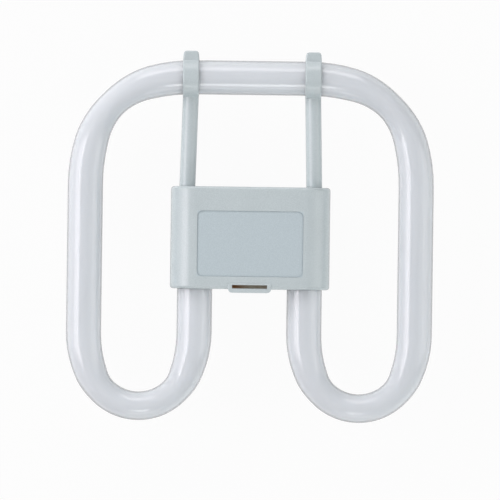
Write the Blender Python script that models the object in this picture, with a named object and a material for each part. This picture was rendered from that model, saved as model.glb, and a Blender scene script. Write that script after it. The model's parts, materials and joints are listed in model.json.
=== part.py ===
"""Square fluorescent lamp with one folded opal tube, lying on its back.

X runs across the lamp, Y runs up from the return bends to the tube clips, and Z
comes out of its front. The origin is under the middle of the lamp, in the plane
of the housing's flat back, on which the lamp rests. All sizes are in metres.
"""

from math import acos, cos, copysign, pi, radians, sin, sqrt

import bmesh
import bpy
from mathutils import Vector

# Clearance between pieces that touch
SEAT_GAP = 0.0003

# Discharge tube
TUBE_DIAMETER = 0.0133
TUBE_PLANE_Z = 0.0181
OUTER_LEG_X = 0.06245
INNER_LEG_X = 0.0207
TOP_RUN_Y = 0.05975
RETURN_BEND_BOTTOM_Y = -0.0700
CORNER_REACH = 0.0322
CORNER_TIGHTENING = 0.0011
RETURN_TIGHTENING = 0.0018
EASE_RATIO = 2.0
BEND_PINCH = 0.0025
BEND_PINCH_ANGLE = radians(48)
TOP_RUN_PINCH = 0.0004
TUBE_SIDES = 20
BEND_STEP = radians(8)

# Glass seals at the two ends of the tube
PRESS_END_Y = 0.0115
PRESS_LENGTH = 0.0050
PRESS_WIDTH = 0.0095
PRESS_THICKNESS = 0.0028
SEAL_TAPER = 0.0065
PRESS_SQUARENESS = 0.6
SEAL_STEPS = 6
EXHAUST_TIP_DIAMETER = 0.0026
EXHAUST_TIP_LENGTH = 0.0026

# Housing, a front cover and a rear shell that meet in the plane of the tube
HOUSING_BOTTOM_Y = -0.0200
HOUSING_TOP_Y = 0.0186
HOUSING_WALL = 0.0015
HOUSING_LEG_ROOM = 0.00125
HOUSING_EDGE_ROUND = 0.0012
ROUND_STEPS = 4
HALF_TURN_STEPS = 18

# Blank label panel sunk in the front face
PANEL_WIDTH = 0.0399
PANEL_HEIGHT = 0.0247
PANEL_MIDDLE_Y = -0.0029
PANEL_CORNER_RADIUS = 0.0022
PANEL_DEPTH = 0.00025
PANEL_GROOVE = 0.0003

# Latch lip at the middle of the cover's lower edge
LIP_ROOT_WIDTH = 0.0163
LIP_FOOT_WIDTH = 0.0143
LIP_DROP = 0.00135
LIP_RISE = 0.0003
LIP_FLANK = 0.0006
LIP_SHOULDER_DROP = 0.00045
LIP_FOOT_ROUND = 0.0007
LATCH_WINDOW_WIDTH = 0.0132
LATCH_WINDOW_HEIGHT = 0.0014
LATCH_WINDOW_RAISE = 0.0002
LATCH_WINDOW_TOP_RIM = 0.0005

# Block behind the housing, whose flat back the lamp rests on
BLOCK_WIDTH = 0.0350
BLOCK_MARGIN = 0.0016
BLOCK_CORNER_RADIUS = 0.0030
BLOCK_DRAFT = 0.0004
BLOCK_EDGE_ROUND = 0.0008
RIB_THICKNESS = 0.0014
RIB_RISE = 0.0004

# Socket insert and its pins
SOCKET_WIDTH = 0.0158
SOCKET_DEPTH = 0.0142
INSERT_SIDE_WALL = 0.0012
INSERT_BACK_WALL = 0.0015
INSERT_FLOOR = 0.0025
INSERT_SETBACK = 0.0003
PIN_DIAMETER = 0.0024
PIN_SPACING_X = 0.0080
PIN_SPACING_Z = 0.0060
PIN_LENGTH = 0.0082
PIN_COLLAR_DIAMETER = 0.0036
PIN_COLLAR_HEIGHT = 0.0008
PIN_TAIL_DIAMETER = 0.0012
PIN_TAIL_LENGTH = 0.0028
PIN_SIDES = 16

# Arms and tube clips, moulded with the rear shell
ARM_DIAMETER = 0.0060
ARM_ROOT_X = 0.0240
ARM_TIP_X = 0.0231
ARM_ROOT_SINK = 0.0008
ARM_SIDES = 24
CLIP_WIDTH = 0.0061
CLIP_WALL = 0.00095
CLIP_JAW_ANGLE = radians(52)
CLIP_TIP_HEIGHT = 0.0099
CLIP_TIP_WIDTH = 0.0056
CLIP_TIP_CORNER = 0.0012
CLIP_EDGE_ROUND = 0.0006
CLIP_ARC_STEPS = 20

# Locating pegs between the two housing halves
PEG_POST_DIAMETER = 0.0034
PEG_DIAMETER = 0.0013
PEG_LENGTH = 0.0030
PEG_SIDES = 16
TOP_PEG_Y = 0.0135
SIDE_PEG_X = 0.0113
SIDE_PEG_Y = -0.0090

# Lead wires, their sleeves and the seal rings round the legs
LEAD_SPACING = 0.0058
LEAD_DIAMETER = 0.0006
SLEEVE_WALL = 0.0004
SLEEVE_START_RATIO = 0.40
SLEEVE_END_RATIO = 0.85
LEAD_SPREAD_RATIO = 0.7
LEAD_ARCH_RATIO = 1.6
LEAD_STEPS = 20
LEAD_SIDES = 8
SEAL_RING_HEIGHT = 0.0050

# Sizes that follow from the driving sizes
TUBE_RADIUS = TUBE_DIAMETER / 2
CAVITY_RADIUS = TUBE_RADIUS + HOUSING_LEG_ROOM
HOUSING_END_RADIUS = CAVITY_RADIUS + HOUSING_WALL
FRONT_Z = TUBE_PLANE_Z + HOUSING_END_RADIUS
BACK_WALL_Z = TUBE_PLANE_Z - HOUSING_END_RADIUS
CAVITY_FRONT_Z = TUBE_PLANE_Z + CAVITY_RADIUS
CAVITY_BACK_Z = TUBE_PLANE_Z - CAVITY_RADIUS
CAVITY_BOTTOM_Y = HOUSING_BOTTOM_Y + HOUSING_WALL
CAVITY_TOP_Y = HOUSING_TOP_Y - HOUSING_WALL
MOUTH_BACK_Z = CAVITY_BACK_Z + RIB_RISE
MOUTH_FRONT_Z = CAVITY_FRONT_Z - RIB_RISE
INSERT_BACK_Z = MOUTH_BACK_Z + SEAT_GAP
INSERT_FRONT_Z = MOUTH_FRONT_Z - SEAT_GAP
INSERT_HALF_WIDTH = SOCKET_WIDTH / 2 + INSERT_SIDE_WALL
INSERT_MOUTH_Y = HOUSING_BOTTOM_Y + INSERT_SETBACK
SOCKET_BACK_Z = INSERT_BACK_Z + INSERT_BACK_WALL
SOCKET_FLOOR_Y = HOUSING_BOTTOM_Y + SOCKET_DEPTH
INSERT_TOP_Y = SOCKET_FLOOR_Y + INSERT_FLOOR
SOCKET_MIDDLE_Z = (SOCKET_BACK_Z + CAVITY_FRONT_Z) / 2
LIP_BOTTOM_Y = HOUSING_BOTTOM_Y - LIP_DROP
LATCH_WINDOW_LOW_Y = HOUSING_BOTTOM_Y + LATCH_WINDOW_RAISE
LATCH_WINDOW_TOP_Y = LATCH_WINDOW_LOW_Y + LATCH_WINDOW_HEIGHT
CLIP_INNER_RADIUS = TUBE_RADIUS + SEAT_GAP
CLIP_OUTER_RADIUS = CLIP_INNER_RADIUS + CLIP_WALL
PIN_TAIL_END_Y = INSERT_TOP_Y + SEAT_GAP + PIN_COLLAR_HEIGHT + PIN_TAIL_LENGTH

# How far a cutter runs past the face that it opens
OVERRUN = 0.0020


def clear_scene():
    for item in list(bpy.data.objects):
        bpy.data.objects.remove(item, do_unlink=True)


def material(name, colour, roughness, metallic=0.0):
    """Principled material of one finish."""
    made = bpy.data.materials.new(name)
    made.use_nodes = True
    shader = made.node_tree.nodes["Principled BSDF"]
    shader.inputs["Base Color"].default_value = (*colour, 1.0)
    shader.inputs["Roughness"].default_value = roughness
    shader.inputs["Metallic"].default_value = metallic
    return made


def loft(name, rings, finish=None, ring_closed=False):
    """Solid skinned over rings of equally many points, capped at both ends or joined round."""
    shape = bmesh.new()
    rows = [[shape.verts.new(point) for point in ring] for ring in rings]
    pairs = list(zip(rows, rows[1:]))
    if ring_closed:
        pairs.append((rows[-1], rows[0]))
    else:
        shape.faces.new(list(reversed(rows[0])))
        shape.faces.new(rows[-1])
    for low, high in pairs:
        count = len(low)
        for i in range(count):
            j = (i + 1) % count
            shape.faces.new((low[i], low[j], high[j], high[i]))
    bmesh.ops.recalc_face_normals(shape, faces=shape.faces)
    mesh = bpy.data.meshes.new(name)
    shape.to_mesh(mesh)
    shape.free()
    mesh.shade_smooth()
    mesh.set_sharp_from_angle(angle=radians(35))
    solid = bpy.data.objects.new(name, mesh)
    bpy.context.collection.objects.link(solid)
    if finish:
        mesh.materials.append(finish)
    return solid


def tool(solid):
    """Mark a solid as one that only shapes others."""
    solid.hide_render = True
    solid.display_type = "WIRE"
    return solid


def combine(target, other, operation):
    step = target.modifiers.new(other.name, "BOOLEAN")
    step.operation = operation
    step.solver = "EXACT"
    step.object = tool(other)


def cut(target, *cutters):
    for cutter in cutters:
        combine(target, cutter, "DIFFERENCE")


def join(target, *additions):
    for addition in additions:
        combine(target, addition, "UNION")


def arc(centre_a, centre_b, radius, start, end, steps):
    """Points of an arc in a plane, both ends included."""
    points = []
    for i in range(steps + 1):
        angle = start + (end - start) * i / steps
        points.append((centre_a + radius * cos(angle), centre_b + radius * sin(angle)))
    return points


def rounded_rectangle(low_x, high_x, low_y, high_y, radius, steps=ROUND_STEPS):
    corners = (
        (high_x - radius, high_y - radius, 0.0),
        (low_x + radius, high_y - radius, pi / 2),
        (low_x + radius, low_y + radius, pi),
        (high_x - radius, low_y + radius, 3 * pi / 2),
    )
    outline = []
    for x, y, start in corners:
        outline += arc(x, y, radius, start, start + pi / 2, steps)
    return outline


def box(name, low, high):
    """Block between two corners."""
    outline = [(low[0], low[1]), (high[0], low[1]), (high[0], high[1]), (low[0], high[1])]
    return loft(name, [[(x, y, z) for x, y in outline] for z in (low[2], high[2])])


def circle(centre_a, centre_b, radius, sides):
    """Points of a full circle in a plane."""
    return arc(centre_a, centre_b, radius, 0.0, 2 * pi * (sides - 1) / sides, sides - 1)


def upright_bar(name, x, z, radius, low_y, high_y, sides):
    """Round bar along Y."""
    return loft(name, [[(a, y, b) for a, b in circle(x, z, radius, sides)] for y in (low_y, high_y)])


def facing_bar(name, x, y, radius, low_z, high_z, sides=PEG_SIDES):
    """Round bar along Z."""
    return loft(name, [[(a, b, z) for a, b in circle(x, y, radius, sides)] for z in (low_z, high_z)])


def smooth(value):
    """Ease from 0 to 1."""
    value = min(max(value, 0.0), 1.0)
    return value * value * (3 - 2 * value)


def quarter_round(radius):
    """Pairs of inset and depth down a rounded edge, from the end face to the full section."""
    pairs = []
    for i in range(ROUND_STEPS + 1):
        angle = pi / 2 * i / ROUND_STEPS
        pairs.append((radius * (1 - sin(angle)), radius * (1 - cos(angle))))
    return pairs


class TubeTrace:
    """Walks along the tube's axis and collects its sections."""

    def __init__(self, x, y, heading, width):
        self.x = x
        self.y = y
        self.heading = heading
        self.sections = []
        self.mark(width)

    def mark(self, width):
        self.sections.append((self.x, self.y, self.heading, width))

    def run(self, length, width):
        self.x += length * cos(self.heading)
        self.y += length * sin(self.heading)
        self.mark(width)

    def turn_right(self, radius, angle):
        centre_x = self.x + radius * sin(self.heading)
        centre_y = self.y - radius * cos(self.heading)
        self.heading -= angle
        self.x = centre_x - radius * sin(self.heading)
        self.y = centre_y + radius * cos(self.heading)

    def eased_turn(self, bend, total, start_width, end_width):
        """Turn whose ends are gentler than its middle, and which narrows the tube."""
        ease, ease_radius, radius, _ = bend
        arcs = ((ease_radius, ease), (radius, total - 2 * ease), (ease_radius, ease))
        turned = 0.0
        for arc_radius, angle in arcs:
            steps = max(2, round(angle / BEND_STEP))
            for _ in range(steps):
                self.turn_right(arc_radius, angle / steps)
                turned += angle / steps
                share = turned / total
                width = start_width + (end_width - start_width) * share
                pinch = smooth(min(turned, total - turned) / BEND_PINCH_ANGLE)
                self.mark(width - BEND_PINCH * pinch)


def eased_bend(reach, tightening):
    """Ease angle, ease radius, main radius and lead of a bend that reaches a run's axis."""
    ease_radius = EASE_RATIO * reach
    radius = reach - tightening
    ease = acos((ease_radius - reach) / (ease_radius - radius))
    lead = (ease_radius - radius) * sin(ease)
    return ease, ease_radius, radius, lead


def tube_sections():
    """Sections from the end of the left inner leg, round the lamp, to that of the right one."""
    return_bend = eased_bend((OUTER_LEG_X - INNER_LEG_X) / 2, RETURN_TIGHTENING)
    corner = eased_bend(CORNER_REACH, CORNER_TIGHTENING)
    _, _, bend_radius, bend_lead = return_bend
    corner_lead = corner[-1]
    leg_end_y = PRESS_END_Y - PRESS_LENGTH - SEAL_TAPER
    bend_axis_y = RETURN_BEND_BOTTOM_Y + (TUBE_DIAMETER - BEND_PINCH) / 2
    bend_start_y = bend_axis_y + bend_radius + bend_lead
    corner_start_y = TOP_RUN_Y - CORNER_REACH - corner_lead
    top_run = 2 * (OUTER_LEG_X - CORNER_REACH - corner_lead)
    top_width = TUBE_DIAMETER - TOP_RUN_PINCH

    trace = TubeTrace(-INNER_LEG_X, leg_end_y, -pi / 2, TUBE_DIAMETER)
    trace.run(leg_end_y - bend_start_y, TUBE_DIAMETER)
    trace.eased_turn(return_bend, pi, TUBE_DIAMETER, TUBE_DIAMETER)
    trace.run(corner_start_y - bend_start_y, TUBE_DIAMETER)
    trace.eased_turn(corner, pi / 2, TUBE_DIAMETER, top_width)
    trace.run(top_run, top_width)
    trace.eased_turn(corner, pi / 2, top_width, TUBE_DIAMETER)
    trace.run(corner_start_y - bend_start_y, TUBE_DIAMETER)
    trace.eased_turn(return_bend, pi, TUBE_DIAMETER, TUBE_DIAMETER)
    trace.run(leg_end_y - bend_start_y, TUBE_DIAMETER)
    return trace.sections


def tube_ring(x, y, heading, half_width, half_depth, squareness=1.0):
    """Ring across the tube; a lower squareness squares up its corners."""
    ring = []
    for i in range(TUBE_SIDES):
        angle = 2 * pi * i / TUBE_SIDES
        across = half_width * copysign(abs(cos(angle)) ** squareness, cos(angle))
        out = half_depth * copysign(abs(sin(angle)) ** squareness, sin(angle))
        ring.append((x - across * sin(heading), y + across * cos(heading), TUBE_PLANE_Z + out))
    return ring


def seal_rings(x, heading):
    """Rings of a leg's closed end: taper, flat press and exhaust tip, from the leg outwards."""
    rings = []
    taper_start_y = PRESS_END_Y - PRESS_LENGTH - SEAL_TAPER
    for i in range(1, SEAL_STEPS + 1):
        share = smooth(i / SEAL_STEPS)
        half_width = TUBE_RADIUS + (PRESS_WIDTH / 2 - TUBE_RADIUS) * share
        half_depth = TUBE_RADIUS + (PRESS_THICKNESS / 2 - TUBE_RADIUS) * share
        squareness = 1.0 + (PRESS_SQUARENESS - 1.0) * share
        y = taper_start_y + SEAL_TAPER * i / SEAL_STEPS
        rings.append(tube_ring(x, y, heading, half_width, half_depth, squareness))
    rings.append(tube_ring(x, PRESS_END_Y, heading, half_width, half_depth, squareness))
    tip_radius = EXHAUST_TIP_DIAMETER / 2
    shank_y = PRESS_END_Y + EXHAUST_TIP_LENGTH - tip_radius
    rings.append(tube_ring(x, PRESS_END_Y, heading, tip_radius, tip_radius))
    for i in range(ROUND_STEPS):
        angle = pi / 2 * i / ROUND_STEPS
        radius = tip_radius * cos(angle)
        rings.append(tube_ring(x, shank_y + tip_radius * sin(angle), heading, radius, radius))
    return rings


def build_discharge_tube(finish):
    rings = list(reversed(seal_rings(-INNER_LEG_X, -pi / 2)))
    for x, y, heading, width in tube_sections():
        rings.append(tube_ring(x, y, heading, width / 2, TUBE_RADIUS))
    rings += seal_rings(INNER_LEG_X, pi / 2)
    return loft("discharge_tube", rings, finish)


def stadium(radius, y):
    """Outline of the housing's section, concentric with the two inner legs."""
    right = arc(INNER_LEG_X, TUBE_PLANE_Z, radius, -pi / 2, pi / 2, HALF_TURN_STEPS)
    left = arc(-INNER_LEG_X, TUBE_PLANE_Z, radius, pi / 2, 3 * pi / 2, HALF_TURN_STEPS)
    return [(x, y, z) for x, z in right + left]


def housing_body(name, finish):
    """Solid form of the whole housing, with rounded upper and lower edges."""
    edge = quarter_round(HOUSING_EDGE_ROUND)
    rings = [stadium(HOUSING_END_RADIUS - inset, HOUSING_BOTTOM_Y + depth) for inset, depth in edge]
    for inset, depth in reversed(edge):
        rings.append(stadium(HOUSING_END_RADIUS - inset, HOUSING_TOP_Y - depth))
    return loft(name, rings, finish)


def housing_half_space(name, low_z, high_z):
    reach_x = INNER_LEG_X + HOUSING_END_RADIUS + OVERRUN
    low_y = LIP_BOTTOM_Y - OVERRUN
    high_y = HOUSING_TOP_Y + OVERRUN
    return box(name, (-reach_x, low_y, low_z), (reach_x, high_y, high_z))


def housing_cavity():
    rings = [stadium(CAVITY_RADIUS, y) for y in (CAVITY_BOTTOM_Y, CAVITY_TOP_Y)]
    return loft("cavity_tool", rings)


def leg_holes():
    low_y = HOUSING_BOTTOM_Y - OVERRUN
    high_y = CAVITY_BOTTOM_Y + OVERRUN
    holes = []
    for side, x in (("left", -INNER_LEG_X), ("right", INNER_LEG_X)):
        name = "leg_hole_tool_" + side
        radius = TUBE_RADIUS + SEAT_GAP
        holes.append(upright_bar(name, x, TUBE_PLANE_Z, radius, low_y, high_y, 2 * HALF_TURN_STEPS))
    return holes


def socket_mouth():
    """Opening in the housing's lower wall that the socket insert fills."""
    half_width = INSERT_HALF_WIDTH + SEAT_GAP
    low = (-half_width, HOUSING_BOTTOM_Y - OVERRUN, MOUTH_BACK_Z)
    high = (half_width, CAVITY_BOTTOM_Y + OVERRUN, MOUTH_FRONT_Z)
    return box("socket_mouth_tool", low, high)


def panel_ring(inset, z):
    """Outline of the label panel at one depth, drawn in by an inset."""
    half_width = PANEL_WIDTH / 2 - inset
    low_y = PANEL_MIDDLE_Y - PANEL_HEIGHT / 2 + inset
    high_y = PANEL_MIDDLE_Y + PANEL_HEIGHT / 2 - inset
    outline = rounded_rectangle(-half_width, half_width, low_y, high_y, PANEL_CORNER_RADIUS - inset)
    return [(x, y, z) for x, y in outline]


def label_panel():
    """Shallow recess of the label panel."""
    levels = (FRONT_Z - PANEL_DEPTH, FRONT_Z + OVERRUN)
    return loft("panel_tool", [panel_ring(0.0, z) for z in levels])


def panel_groove():
    """Fine groove along the foot of the recess's wall."""
    low_z = FRONT_Z - PANEL_DEPTH - PANEL_GROOVE
    high_z = FRONT_Z + OVERRUN / 2
    profile = ((0.0, low_z), (0.0, high_z), (PANEL_GROOVE, high_z), (PANEL_GROOVE, low_z))
    return loft("groove_tool", [panel_ring(inset, z) for inset, z in profile], ring_closed=True)


def latch_lip():
    """Raised rim round the latch window, which drops below the cover's lower edge."""
    top_y = LATCH_WINDOW_TOP_Y + LATCH_WINDOW_TOP_RIM
    root = LIP_ROOT_WIDTH / 2
    foot = LIP_FOOT_WIDTH / 2
    shoulder_y = HOUSING_BOTTOM_Y - LIP_SHOULDER_DROP

    def outline(inset):
        right = [
            (root - inset, top_y - inset / 2),
            (root - inset, shoulder_y + inset / 2),
            (foot + LIP_FOOT_ROUND / 2 - inset, LIP_BOTTOM_Y + LIP_FOOT_ROUND / 2 + inset),
            (foot - LIP_FOOT_ROUND / 2 - inset, LIP_BOTTOM_Y + inset),
        ]
        return right + [(-x, y) for x, y in reversed(right)]

    levels = (
        (0.0, CAVITY_FRONT_Z),
        (0.0, FRONT_Z - LIP_RISE),
        (LIP_FLANK / 3, FRONT_Z + LIP_RISE / 2),
        (LIP_FLANK, FRONT_Z + LIP_RISE),
    )
    return loft("lip_tool", [[(x, y, z) for x, y in outline(inset)] for inset, z in levels])


def latch_window():
    half_width = LATCH_WINDOW_WIDTH / 2
    low = (-half_width, LATCH_WINDOW_LOW_Y, CAVITY_FRONT_Z - OVERRUN)
    high = (half_width, LATCH_WINDOW_TOP_Y, FRONT_Z + OVERRUN)
    return box("latch_window_tool", low, high)


def peg_places():
    return (("top", 0.0, TOP_PEG_Y), ("left", -SIDE_PEG_X, SIDE_PEG_Y), ("right", SIDE_PEG_X, SIDE_PEG_Y))


def build_front_cover(finish, shared_cutters):
    cover = housing_body("front_cover", finish)
    parting_z = TUBE_PLANE_Z + SEAT_GAP / 2
    cut(cover, housing_half_space("rear_half_tool", BACK_WALL_Z - OVERRUN, parting_z))
    join(cover, latch_lip())
    cut(cover, *shared_cutters)
    for side, x in (("left", -ARM_ROOT_X), ("right", ARM_ROOT_X)):
        radius = ARM_DIAMETER / 2 + SEAT_GAP
        low_y = CAVITY_TOP_Y - OVERRUN
        high_y = HOUSING_TOP_Y + OVERRUN
        name = "arm_notch_tool_" + side
        cut(cover, upright_bar(name, x, TUBE_PLANE_Z, radius, low_y, high_y, ARM_SIDES))
    cut(cover, label_panel(), panel_groove(), latch_window())
    wall_z = CAVITY_FRONT_Z + HOUSING_WALL / 2
    for place, x, y in peg_places():
        post = facing_bar("cover_post_tool_" + place, x, y, PEG_POST_DIAMETER / 2, parting_z, wall_z)
        peg_end = parting_z - PEG_LENGTH
        peg = facing_bar("cover_peg_tool_" + place, x, y, PEG_DIAMETER / 2, peg_end, wall_z)
        join(cover, post, peg)
    return cover


def block_outline(inset, z):
    half_width = BLOCK_WIDTH / 2 - inset
    low_y = HOUSING_BOTTOM_Y + BLOCK_MARGIN + inset
    high_y = HOUSING_TOP_Y - BLOCK_MARGIN - inset
    radius = BLOCK_CORNER_RADIUS - inset
    return [(x, y, z) for x, y in rounded_rectangle(-half_width, half_width, low_y, high_y, radius)]


def rear_block():
    """Drafted block behind the housing, down to its flat back."""
    rings = [block_outline(BLOCK_DRAFT + inset, depth) for inset, depth in quarter_round(BLOCK_EDGE_ROUND)]
    rings.append(block_outline(0.0, BACK_WALL_Z + HOUSING_WALL / 2))
    return loft("block_tool", rings)


def block_pocket():
    """Hollow of the block, open to the housing's own hollow."""
    inset = BLOCK_DRAFT + HOUSING_WALL
    levels = (HOUSING_WALL, CAVITY_BACK_Z + OVERRUN)
    return loft("pocket_tool", [block_outline(inset, z) for z in levels])


def insert_ribs():
    """Ribs in the pocket that carry the socket insert."""
    low_y = HOUSING_BOTTOM_Y + BLOCK_MARGIN + BLOCK_DRAFT + HOUSING_WALL / 2
    ribs = []
    for side, sign in (("left", -1), ("right", 1)):
        middle = sign * SOCKET_WIDTH / 2
        low = (middle - RIB_THICKNESS / 2, low_y, HOUSING_WALL / 2)
        high = (middle + RIB_THICKNESS / 2, INSERT_TOP_Y, MOUTH_BACK_Z)
        ribs.append(box("rib_tool_" + side, low, high))
    return ribs


def arm(side, sign):
    """Round arm from the housing's upper wall to the underside of its clip."""
    radius = ARM_DIAMETER / 2
    low_y = CAVITY_TOP_Y - ARM_ROOT_SINK
    flank_reach = sqrt(CLIP_OUTER_RADIUS ** 2 - radius ** 2)
    high_y = TOP_RUN_Y - (CLIP_INNER_RADIUS + flank_reach) / 2
    rings = []
    for x, y in ((ARM_ROOT_X, low_y), (ARM_TIP_X, high_y)):
        rings.append([(a, y, b) for a, b in circle(sign * x, TUBE_PLANE_Z, radius, ARM_SIDES)])
    return loft("arm_tool_" + side, rings)


def clip_section(inset, tip_height):
    """Clip outline seen along the tube: a C round its underside with two upright tips."""
    outer = CLIP_OUTER_RADIUS - inset
    tip_face = CLIP_OUTER_RADIUS * cos(CLIP_JAW_ANGLE) - inset
    tip_back = CLIP_OUTER_RADIUS * cos(CLIP_JAW_ANGLE) - CLIP_WALL
    outer_end = acos(tip_face / outer)
    inner_end = acos(tip_back / CLIP_INNER_RADIUS)
    outline = [(tip_face, tip_height)]
    outline += arc(0.0, 0.0, outer, outer_end, -pi - outer_end, CLIP_ARC_STEPS)
    outline += [(-tip_face, tip_height), (-tip_back, tip_height)]
    outline += arc(0.0, 0.0, CLIP_INNER_RADIUS, -pi - inner_end, inner_end, CLIP_ARC_STEPS)
    outline.append((tip_back, tip_height))
    return outline


def tip_narrowing(height):
    """Share of the clip's width that is left at a height over the tube's axis."""
    foot = CLIP_OUTER_RADIUS * sin(CLIP_JAW_ANGLE)
    share = min(max((height - foot) / (CLIP_TIP_HEIGHT - foot), 0.0), 1.0)
    return 1.0 + (CLIP_TIP_WIDTH / CLIP_WIDTH - 1.0) * share


def clip(side, sign):
    """Moulded clip that the top run of the tube snaps into."""
    half_width = CLIP_WIDTH / 2
    stations = []
    for inset, depth in quarter_round(CLIP_TIP_CORNER):
        edge = max(CLIP_EDGE_ROUND - inset, 0.0)
        fillet = CLIP_EDGE_ROUND - sqrt(CLIP_EDGE_ROUND ** 2 - edge ** 2)
        stations.append((half_width - inset, fillet, depth))
    stations = [(-x, fillet, drop) for x, fillet, drop in reversed(stations)] + stations
    rings = []
    for x, fillet, drop in stations:
        section = clip_section(fillet, CLIP_TIP_HEIGHT - drop)
        middle = sign * ARM_TIP_X
        rings.append([(middle + x * tip_narrowing(b), TOP_RUN_Y + b, TUBE_PLANE_Z + a) for a, b in section])
    return loft("clip_tool_" + side, rings)


def build_rear_shell(finish, shared_cutters):
    shell = housing_body("rear_shell", finish)
    parting_z = TUBE_PLANE_Z - SEAT_GAP / 2
    cut(shell, housing_half_space("front_half_tool", parting_z, FRONT_Z + OVERRUN))
    join(shell, rear_block())
    cut(shell, *shared_cutters)
    cut(shell, block_pocket())
    join(shell, *insert_ribs())
    for place, x, y in peg_places():
        low_z = HOUSING_WALL / 2
        post = facing_bar("shell_post_tool_" + place, x, y, PEG_POST_DIAMETER / 2, low_z, parting_z)
        hole_radius = PEG_DIAMETER / 2 + SEAT_GAP
        hole_low = parting_z - PEG_LENGTH - SEAT_GAP
        hole = facing_bar("peg_hole_tool_" + place, x, y, hole_radius, hole_low, parting_z + OVERRUN)
        join(shell, post)
        cut(shell, hole)
    for side, sign in (("left", -1), ("right", 1)):
        join(shell, arm(side, sign), clip(side, sign))
    return shell


def build_pin_carrier(finish):
    """Brown socket insert: floor with pin holes, two side walls and a back wall."""
    low = (-INSERT_HALF_WIDTH, INSERT_MOUTH_Y, INSERT_BACK_Z)
    high = (INSERT_HALF_WIDTH, INSERT_TOP_Y, INSERT_FRONT_Z)
    carrier = box("pin_carrier", low, high)
    carrier.data.materials.append(finish)
    half_width = SOCKET_WIDTH / 2
    low = (-half_width, HOUSING_BOTTOM_Y - OVERRUN, SOCKET_BACK_Z)
    high = (half_width, SOCKET_FLOOR_Y, FRONT_Z)
    cut(carrier, box("socket_tool", low, high))
    for number, x, z in pin_places():
        name = "pin_hole_tool_" + str(number)
        radius = PIN_DIAMETER / 2 + SEAT_GAP
        low_y = SOCKET_FLOOR_Y - OVERRUN
        high_y = INSERT_TOP_Y + OVERRUN
        cut(carrier, upright_bar(name, x, z, radius, low_y, high_y, PIN_SIDES))
    return carrier


def pin_places():
    """Number and place of each pin, left to right and front to back."""
    places = []
    for sign_x in (-1, 1):
        for sign_z in (1, -1):
            x = sign_x * PIN_SPACING_X / 2
            z = SOCKET_MIDDLE_Z + sign_z * PIN_SPACING_Z / 2
            places.append((len(places) + 1, x, z))
    return places


def build_contact_pin(number, x, z, finish):
    """Turned pin: rounded nose, shank through the insert's floor, collar and tail."""
    radius = PIN_DIAMETER / 2
    nose_y = SOCKET_FLOOR_Y - PIN_LENGTH
    profile = []
    for i in range(1, ROUND_STEPS + 1):
        angle = pi / 2 * i / ROUND_STEPS
        profile.append((radius * sin(angle), nose_y + radius * (1 - cos(angle))))
    seat_y = INSERT_TOP_Y + SEAT_GAP
    profile.append((radius, seat_y))
    profile.append((PIN_COLLAR_DIAMETER / 2, seat_y))
    profile.append((PIN_COLLAR_DIAMETER / 2, seat_y + PIN_COLLAR_HEIGHT))
    profile.append((PIN_TAIL_DIAMETER / 2, seat_y + PIN_COLLAR_HEIGHT))
    profile.append((PIN_TAIL_DIAMETER / 2, PIN_TAIL_END_Y))
    rings = [[(a, y, b) for a, b in circle(x, z, size, PIN_SIDES)] for size, y in profile]
    return loft("contact_pin_" + str(number), rings, finish)


def lead_route(sign_x, sign_z):
    """Smooth route of a lead from its glass press to the tail of its pin."""
    press_x = sign_x * (INNER_LEG_X - sign_z * LEAD_SPACING / 2)
    pin_x = sign_x * PIN_SPACING_X / 2
    pin_z = SOCKET_MIDDLE_Z + sign_z * PIN_SPACING_Z / 2
    start = Vector((press_x, PRESS_END_Y + SEAT_GAP, TUBE_PLANE_Z))
    end = Vector((pin_x, PIN_TAIL_END_Y + SEAT_GAP, pin_z))
    room = CAVITY_TOP_Y - PRESS_END_Y
    start_pull = start + room * Vector((0.0, 1.0, sign_z * LEAD_SPREAD_RATIO))
    end_spread = Vector((sign_x * LEAD_SPREAD_RATIO, LEAD_ARCH_RATIO, sign_z * LEAD_SPREAD_RATIO / 2))
    end_pull = end + room * end_spread
    points = []
    for i in range(LEAD_STEPS + 1):
        t = i / LEAD_STEPS
        s = 1 - t
        points.append(s ** 3 * start + 3 * s * s * t * start_pull + 3 * s * t * t * end_pull + t ** 3 * end)
    return points


def route_ring(points, index, radius):
    """Ring across a route at one of its points."""
    before = points[max(index - 1, 0)]
    after = points[min(index + 1, len(points) - 1)]
    along = (after - before).normalized()
    side = along.cross(Vector((0.0, 0.0, 1.0))).normalized()
    rise = side.cross(along)
    ring = []
    for i in range(LEAD_SIDES):
        angle = 2 * pi * i / LEAD_SIDES
        ring.append(points[index] + radius * (cos(angle) * side + sin(angle) * rise))
    return ring


def build_lead(number, sign_x, sign_z, wire_finish, sleeve_finish):
    """Lead wire and the sleeve over its middle."""
    points = lead_route(sign_x, sign_z)
    radius = LEAD_DIAMETER / 2
    wire = [route_ring(points, i, radius) for i in range(len(points))]
    loft("lead_wire_" + str(number), wire, wire_finish)
    first = round(SLEEVE_START_RATIO * LEAD_STEPS)
    last = round(SLEEVE_END_RATIO * LEAD_STEPS)
    inner = radius + SEAT_GAP
    covered = range(first, last + 1)
    sleeve = [route_ring(points, i, inner + SLEEVE_WALL) for i in covered]
    sleeve += [route_ring(points, i, inner) for i in reversed(covered)]
    loft("wire_sleeve_" + str(number), sleeve, sleeve_finish, ring_closed=True)


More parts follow.
